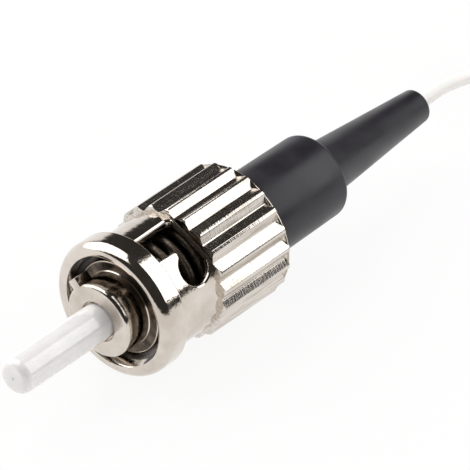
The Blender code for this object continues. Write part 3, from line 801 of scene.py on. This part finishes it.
def grownOutline(outline, growth):
    # Every point moves out along its own normal, and never past the outline's front
    front = min(along for around, along in outline)
    grown = []
    for before, point, after in zip(outline[-1:] + outline[:-1], outline, outline[1:] + outline[:1]):
        arriving = Vector((point[0] - before[0], point[1] - before[1])).normalized()
        leaving = Vector((after[0] - point[0], after[1] - point[1])).normalized()
        line = (arriving + leaving).normalized()
        grown.append((point[0] + growth * line.y, max(point[1] - growth * line.x, front)))
    return grown


def wrappedOutline(outline, radius, growth, turn):
    # The flat outline, grown and wrapped round the axis
    area = sum(a[0] * b[1] - b[0] * a[1] for a, b in zip(outline, outline[1:] + outline[:1]))
    places = []
    for around, along in grownOutline(outline, math.copysign(growth, area)):
        angle = around / (nutValues["sleeve"] / 2) + math.radians(turn)
        places.append(Vector((radius * math.cos(angle), along, radius * math.sin(angle))) * mm)
    return places


def wrappedCutter(outline, levels, turns):
    # One cap is drawn out through the (radius, growth) levels, and the cap that it leaves goes
    shape = bmesh.new()
    for turn in turns:
        loops = [wrappedOutline(outline, radius, growth, turn) for radius, growth in levels]
        inner = cap = shape.faces.new([shape.verts.new(place) for place in loops[0]])
        for loop in loops[1:]:
            drawn = bmesh.ops.extrude_face_region(shape, geom=[cap])["geom"]
            if cap is not inner:
                bmesh.ops.delete(shape, geom=[cap], context="FACES_ONLY")
            cap = next(item for item in drawn if isinstance(item, bmesh.types.BMFace))
            for corner, place in zip(cap.verts, loop):
                corner.co = place
    bmesh.ops.triangulate(shape, faces=[face for face in shape.faces if len(face.verts) > 4])
    return shape


def nutCore():
    # Everything that is turned: rounded rim, sleeve, the core under the teeth, and the inner steps
    v, s = nutValues, stations
    sleeve, bore, crown, lip = v["sleeve"] / 2, v["bore"] / 2, v["rim"] / 2, v["lip"] / 2
    front, edge, gap, lipRound = s["rimFront"], v["rimEdge"], v["crownGap"], v["lipRound"]
    end = math.radians(v["noseEnd"])
    nose = v["noseLength"] / (1 + math.cos(end))
    profile = arcPoints((front + nose, lip), (nose, (crown - lip) / math.sin(end)), 180, v["noseEnd"], 14)
    profile += [(front + v["noseLength"] + gap, crown), (s["rimBack"] - edge - gap, crown)]
    profile += arcPoints((s["rimBack"] - edge, crown - edge), (edge, edge), 90, 15, 5)
    core = v["knurl"] / 2 - v["toothDepth"] - v["coreSink"]
    coreFront, coreBack = s["knurlFront"] + v["overlap"], s["nutBack"] - v["overlap"]
    recess, lead = v["recess"] / 2, v["recessEdge"]
    profile += [
        (s["rimBack"], sleeve), (coreFront, sleeve), (coreFront, core), (coreBack, core),
        (coreBack, recess + v["recessWall"]), (s["nutBack"], recess + v["recessWall"]),
        (s["nutBack"], recess + lead), (s["nutBack"] - lead, recess), (s["shoulderBack"], recess),
        (s["shoulderBack"], v["shoulderBore"] / 2), (s["shoulderFront"], v["shoulderBore"] / 2),
        (s["shoulderFront"], v["pocket"] / 2), (s["knurlFront"] + v["pocketFront"], v["pocket"] / 2),
        (s["knurlFront"], bore), (front + v["lipDepth"], bore),
    ]
    profile += arcPoints((front + lipRound, lip), (lipRound, lip - bore), 225, 186, 6)
    return spunShape(profile, v["steps"])


def toothedGrip():
    # One pitch of the section, repeated round and drawn along, kept inside a turned blank
    v, s = nutValues, stations
    grip, foot, edge = v["knurl"] / 2, v["sleeve"] / 2 - v["blankRoot"], v["knurlEdge"]
    front, back = s["knurlFront"] - v["overlap"], s["nutBack"]
    teeth = bmesh.new()
    ring = []
    for number in range(v["toothCount"]):
        for angle, depth in toothSection:
            turn = math.radians(v["crestTurn"] + number * 360 / v["toothCount"] + angle)
            place = Vector(((grip - depth) * math.cos(turn), front, (grip - depth) * math.sin(turn)))
            ring.append(teeth.verts.new(place * mm))
    grown = bmesh.ops.extrude_face_region(teeth, geom=[teeth.faces.new(ring)])["geom"]
    drawn = [item for item in grown if isinstance(item, bmesh.types.BMVert)]
    bmesh.ops.translate(teeth, verts=drawn, vec=(0, (back - front) * mm, 0))
    bmesh.ops.recalc_face_normals(teeth, faces=teeth.faces)
    # The steep side of each tooth gets the darker plate: partly polishing residue, partly painted shade in
    # the grooves
    for face in teeth.faces:
        middle = face.calc_center_median()
        lean = middle.x * face.normal.z - middle.z * face.normal.x
        residueAndShadeSide = lean > v["residueAndShadeLean"] * middle.length and abs(face.normal.y) < 0.5
        face.material_index = residueAndShadeFace if residueAndShadeSide else toothFace
    piece = linkPiece("toothedGrip", teeth, nutMaterials)
    top, backEdge, backEnd = grip + v["blankProud"], edge / 2, back - v["blankGap"]
    blank = [(s["knurlFront"], foot)]
    blank += arcPoints((s["knurlFront"] + edge, top - edge), (edge, edge), 180, 90, 6)
    blank += arcPoints((backEnd - backEdge, top - backEdge), (backEdge, backEdge), 90, 0, 5)
    blank += [(backEnd, foot)]
    blankShape = spunShape(blank, v["steps"])
    for face in blankShape.faces:
        face.material_index = toothFace
    cutWith(piece, blankShape, "INTERSECT")
    shape = bmesh.new()
    shape.from_mesh(piece.data)
    bpy.data.objects.remove(piece, do_unlink=True)
    return shape


def backRing():
    # The plain ring behind the teeth, with the slope that each groove between them runs out on
    v, back = nutValues, stations["nutBack"]
    grip, foot, start = v["knurl"] / 2, v["sleeve"] / 2 - v["ringRoot"], back - v["runOut"]
    edge, top = v["ringEdge"], grip - v["ringDepth"]
    profile = [
        (start, foot), (start, grip - v["toothDepth"] - v["ringSink"]),
        (back - v["runOut"] * v["slopeEnd"], grip - v["toothDepth"] * v["slopeDepth"]),
        (back - v["ringLength"], top),
    ]
    profile += arcPoints((back - edge, top - edge), (edge, edge), 90, 0, 4)
    profile += [(back, foot)]
    return spunShape(profile, v["steps"])


def cutSlots(piece):
    # Two bayonet slots whose outer edges are rounded, and the keyways that lead into them through the rim
    v, s = nutValues, stations
    sleeve, inside, edge = v["sleeve"] / 2, v["bore"] / 2 - v["cutterPast"], v["slotEdge"]
    levels = [(inside, 0)]
    for angle in (0, 25, 45, 60, 75):
        turn = math.radians(angle)
        levels.append((sleeve - edge * (1 - math.sin(turn)), edge * (1 - math.cos(turn))))
    # The cutter rises well past the sleeve, because its cap is flat and sags below its own edge
    full = edge * v["slotEdgeShare"]
    levels += [(sleeve + v["cutterLift"], full), (sleeve + v["cutterRise"], full)]
    cutWith(piece, wrappedCutter(slotOutline(), levels, (0, 180)))
    entry = (v["slotFrom"] + v["keywayInset"], v["slotTo"] - v["keywayInset"])
    keyFrom, keyTo = (math.radians(angle) * sleeve for angle in entry)
    around = [keyFrom + (keyTo - keyFrom) * step / 8 for step in range(9)]
    keyOutline = [(place, s["rimFront"] - v["cutterPast"]) for place in around]
    keyOutline += [(place, s["rimBack"] + v["cutterPast"]) for place in reversed(around)]
    cutWith(piece, wrappedCutter(keyOutline, [(inside, 0), (v["keyway"] / 2, 0)], (0, 180)))


def makeNut(prefix):
    v, s = nutValues, stations
    piece = linkPiece(prefix + "bayonet_nut", nutCore(), nutMaterials)
    cutWith(piece, toothedGrip(), "UNION")
    cutWith(piece, backRing(), "UNION")
    cutSlots(piece)
    for face in piece.data.polygons:  # past the rim the inner wall gets the darker, duller plate: painted shade inside the nut
        along, radius = face.center.y / mm, math.hypot(face.center.x, face.center.z) / mm
        if s["rimBack"] < along < s["nutBack"] - v["insideStop"] and radius < v["bore"] / 2 + v["insideSkin"]:
            face.material_index = paintedShadeFace
    placePiece(piece, prefix)
    return finishPiece(piece, prefix + "nut", prefix + "coupling_nut", 30)


springValues = {
    "wire": 0.56, "radius": 3.02, "length": 8.2, "coils": 6, "closed": 0.62, "stepsPerTurn": 40,
    "travel": 1.5,
}


def makeSpring(prefix):
    # Six open coils between two closed ones
    v = springValues
    openLength = v["length"] - v["wire"] - 2 * v["closed"]
    turns = v["coils"] + 2
    points = []
    for step in range(turns * v["stepsPerTurn"] + 1):
        turn = step / v["stepsPerTurn"]
        rise = v["closed"] * min(turn, 1) + v["closed"] * max(turn - turns + 1, 0)
        rise += openLength * min(max(turn - 1, 0), v["coils"]) / v["coils"]
        angle, along = 2 * math.pi * turn, stations["springFront"] + v["wire"] / 2 + rise
        points.append(Vector((v["radius"] * math.cos(angle), along, v["radius"] * math.sin(angle))) * mm)
    curve = wireCurve("springWire", points, v["wire"] * mm, 3)
    wire = bpy.data.objects.new("springWire", curve)
    shape = bmesh.new()
    shape.from_mesh(bpy.data.meshes.new_from_object(wire))
    bpy.data.objects.remove(wire, do_unlink=True)
    bpy.data.curves.remove(curve)
    bmesh.ops.remove_doubles(shape, verts=shape.verts, dist=1e-7)
    piece = linkPiece(prefix + "wound_spring", shape, [springSteel])
    placePiece(piece, prefix)
    finishPiece(piece, "cord", prefix + "spring", 50)
    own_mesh(piece)
    return piece


bootValues = {
    "diameter": 6.15, "draft": 0.08, "frontEdge": 0.12, "shoulderRadius": 0.45, "tailRoot": 3.9,
    "fillet": 0.1, "tailEnd": 2.4, "tip": 0.25, "socket": 4.64, "guide": 1.66, "guideEnd": 0.86,
    "postGap": 0.03, "bore": 1.02, "steps": 128,
}


def makeBoot(prefix):
    # A socket over the ribbed post, a rounded shoulder with a small fillet, and a tail that tapers
    v, s = bootValues, stations
    front, corner, tip = v["diameter"] / 2, v["shoulderRadius"], v["tip"]
    back, root, bore = front - v["draft"], v["tailRoot"] / 2, v["bore"] / 2
    edge, fillet, post = v["frontEdge"], v["fillet"], s["postBack"] + v["postGap"]
    profile = [(s["bootFront"], v["socket"] / 2)]
    profile += arcPoints((s["bootFront"] + edge, front - edge), (edge, edge), 180, 90, 4)
    profile += arcPoints((s["bootShoulder"] - corner, back - corner), (corner, corner), 90, 0, 8)
    profile += [
        (s["bootShoulder"], root + fillet), (s["bootShoulder"] + 0.3 * fillet, root + 0.3 * fillet),
        (s["bootShoulder"] + fillet, root - 0.2 * fillet),
    ]
    profile += arcPoints((s["bootBack"] - tip, v["tailEnd"] / 2 - tip), (tip, tip), 80, 0, 6)
    profile += [
        (s["bootBack"], bore), (s["postBack"] + v["guideEnd"], bore), (post, v["guide"] / 2),
        (post, v["socket"] / 2),
    ]
    piece = linkPiece(prefix + "moulded_boot", spunShape(profile, v["steps"]), [bootRubber])
    placePiece(piece, prefix)
    return finishPiece(piece, "cord", prefix + "boot")


tieValues = {"corner": 0.7, "thickness": 0.24}


def makeTie():
    # A band of strap round the hank: a box with open ends, rounded corners and a thin wall
    low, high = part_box("cord_tie")
    shape = bmesh.new()
    bmesh.ops.create_cube(shape, size=1)
    bmesh.ops.scale(shape, vec=high - low, verts=shape.verts)
    bmesh.ops.translate(shape, vec=(low + high) / 2, verts=shape.verts)
    ends = [face for face in shape.faces if abs(face.normal.y) > 0.5]
    bmesh.ops.delete(shape, geom=ends, context="FACES_ONLY")
    edges = [edge for edge in shape.edges if abs((edge.verts[0].co - edge.verts[1].co).normalized().y) > 0.5]
    bmesh.ops.bevel(
        shape, geom=edges, offset=tieValues["corner"] * mm, offset_type="OFFSET", segments=5, profile=0.5,
        affect="EDGES", material=-1,
    )
    bmesh.ops.recalc_face_normals(shape, faces=shape.faces)
    bmesh.ops.solidify(shape, geom=shape.faces[:], thickness=tieValues["thickness"] * mm)
    return finishPiece(linkPiece("strap_tie", shape, [strapCloth]), "cord", "cord_tie")


def keepNode(name, material):
    # A node of the frame whose shape is right keeps it, and gets its finish
    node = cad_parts[name]
    node.data.materials.clear()
    node.data.materials.append(material)
    return node


keptNodes = {
    "glass_fibre": fibreGlass, "fibre_coating": bufferPlastic, "buffer_guide": guidePlastic,
    "thrust_washer": springSteel, "retaining_clip": springSteel,
}
pieces = {}
for prefix in ("", "far_"):
    pieces[prefix] = [
        makeFerrule(prefix), makeBody(prefix), makeNut(prefix), makeSpring(prefix), makeBoot(prefix),
    ]
    pieces[prefix] += [keepNode(prefix + name, material) for name, material in keptNodes.items()]
    print("connector made:", prefix or "near")

onTheCord = pieces["far_"] + [makeTie()]
print("pieces made")


# Floor: pale, and seen as white apart from the part of the object's shadow that it keeps
stageValues = {"floor": "#f2f1ef", "floorSize": 3.0, "floorDrop": 0.02, "roughness": 0.9, "shadowShare": 0.10}


def makeFloor():
    v = stageValues
    shape = bmesh.new()
    bmesh.ops.create_grid(shape, x_segments=1, y_segments=1, size=v["floorSize"] / 2)
    mesh = bpy.data.meshes.new("paleFloor")
    shape.to_mesh(mesh)
    shape.free()
    material, tree, shader = startMaterial("paleFloor", {
        "Base Color": linearColour(v["floor"]), "Roughness": v["roughness"], "Specular IOR Level": 0.0,
    })[:3]
    path = addNode(tree, "ShaderNodeLightPath")
    seen = addNode(
        tree, "ShaderNodeMath", {"operation": "MAXIMUM"},
        {0: path.outputs["Is Camera Ray"], 1: path.outputs["Is Glossy Ray"]},
    )
    seen = addNode(
        tree, "ShaderNodeMath", {"operation": "MAXIMUM"},
        {0: seen.outputs["Value"], 1: path.outputs["Is Transmission Ray"]},
    )
    share = addNode(
        tree, "ShaderNodeMath", {"operation": "MULTIPLY", 1: 1 - v["shadowShare"]},
        {0: seen.outputs["Value"]},
    )
    glow = addNode(tree, "ShaderNodeEmission", {"Color": (1, 1, 1, 1), "Strength": 1.0})
    mixed = addNode(
        tree, "ShaderNodeMixShader", {},
        {"Fac": share.outputs["Value"], 1: shader.outputs["BSDF"], 2: glow.outputs["Emission"]},
    )
    linkInputs(tree, tree.nodes["Material Output"], {"Surface": mixed.outputs["Shader"]})
    mesh.materials.append(material)
    floor = bpy.data.objects.new("pale_floor", mesh)
    floor.location = (0, 0, -v["floorDrop"] * mm)
    bpy.context.collection.objects.link(floor)


lamps = {  # name: (direction it stands in, distance, across, along, turn in degrees, radiance)
    "leftSoftbox": ((-0.70, -0.15, 0.69), 0.50, 0.58, 0.70, 0, 2.2),
    "rightSoftbox": ((0.474, 0.684, 0.554), 0.55, 0.34, 0.59, -38.6, 2.3),
}


def makeLamps():
    centre = Vector((0, 0, 0.005))
    for name, (direction, distance, across, along, turn, radiance) in lamps.items():
        light = bpy.data.lights.new(name, "AREA")
        light.shape = "RECTANGLE"
        light.size = across
        light.size_y = along
        light.energy = radiance * math.pi * across * along
        lamp = bpy.data.objects.new(name, light)
        way = Vector(direction).normalized()
        lamp.location = centre + way * distance
        aim = way.to_track_quat("Z", "Y") @ Quaternion((0, 0, 1), math.radians(turn))
        lamp.rotation_euler = aim.to_euler()
        lamp.visible_camera = False
        bpy.context.collection.objects.link(lamp)


roomValues = {  # linear light; heights are the upward part of a direction, and the dark reaches lower at +X
    "pale": (0.95, 0.94, 0.93, 1), "dark": (0.035, 0.032, 0.03, 1), "fill": (0.42, 0.42, 0.42, 1),
    "paleTo": 0.14, "darkFrom": 0.20, "tilt": 0.18, "tiltReach": 0.2,
}


def makeWorld():
    # White to the camera, even fill for the surfaces, and a pale room with a dark ceiling in the gloss
    v = roomValues
    world = bpy.data.worlds.new("paleStudio")
    bpy.context.scene.world = world
    world.use_nodes = True
    tree = world.node_tree
    tree.nodes.clear()
    path = addNode(tree, "ShaderNodeLightPath")
    place = addNode(tree, "ShaderNodeTexCoord").outputs["Generated"]
    split = addNode(tree, "ShaderNodeSeparateXYZ", {}, {"Vector": place})
    side = addNode(
        tree, "ShaderNodeMapRange",
        {"From Min": -v["tiltReach"], "From Max": v["tiltReach"], "To Min": 0.0, "To Max": v["tilt"]},
        {"Value": split.outputs["X"]},
    )
    height = addNode(
        tree, "ShaderNodeMath", {"operation": "ADD"}, {0: split.outputs["Z"], 1: side.outputs["Result"]},
    )
    room = addNode(
        tree, "ShaderNodeValToRGB", {"stops": [(v["paleTo"], v["pale"]), (v["darkFrom"], v["dark"])]},
        {"Fac": height.outputs["Value"]},
    )
    firstColour, secondColour, mixedColour = 6, 7, 2  # a Mix node's colour sockets, which share their names
    glossy = addNode(
        tree, "ShaderNodeMix", {"data_type": "RGBA", firstColour: v["fill"]},
        {0: path.outputs["Is Glossy Ray"], secondColour: room.outputs["Color"]},
    )
    clear = addNode(
        tree, "ShaderNodeMath", {"operation": "MAXIMUM"},
        {0: path.outputs["Is Camera Ray"], 1: path.outputs["Is Transmission Ray"]},
    )
    final = addNode(
        tree, "ShaderNodeMix", {"data_type": "RGBA", secondColour: (1, 1, 1, 1)},
        {0: clear.outputs["Value"], firstColour: glossy.outputs[mixedColour]},
    )
    light = addNode(
        tree, "ShaderNodeBackground", {"Strength": 1.0}, {"Color": final.outputs[mixedColour]},
    )
    addNode(tree, "ShaderNodeOutputWorld", {}, {"Surface": light.outputs["Background"]})


makeFloor()
makeLamps()
makeWorld()
bpy.context.scene.view_settings.view_transform = "Standard"
print("stage set")
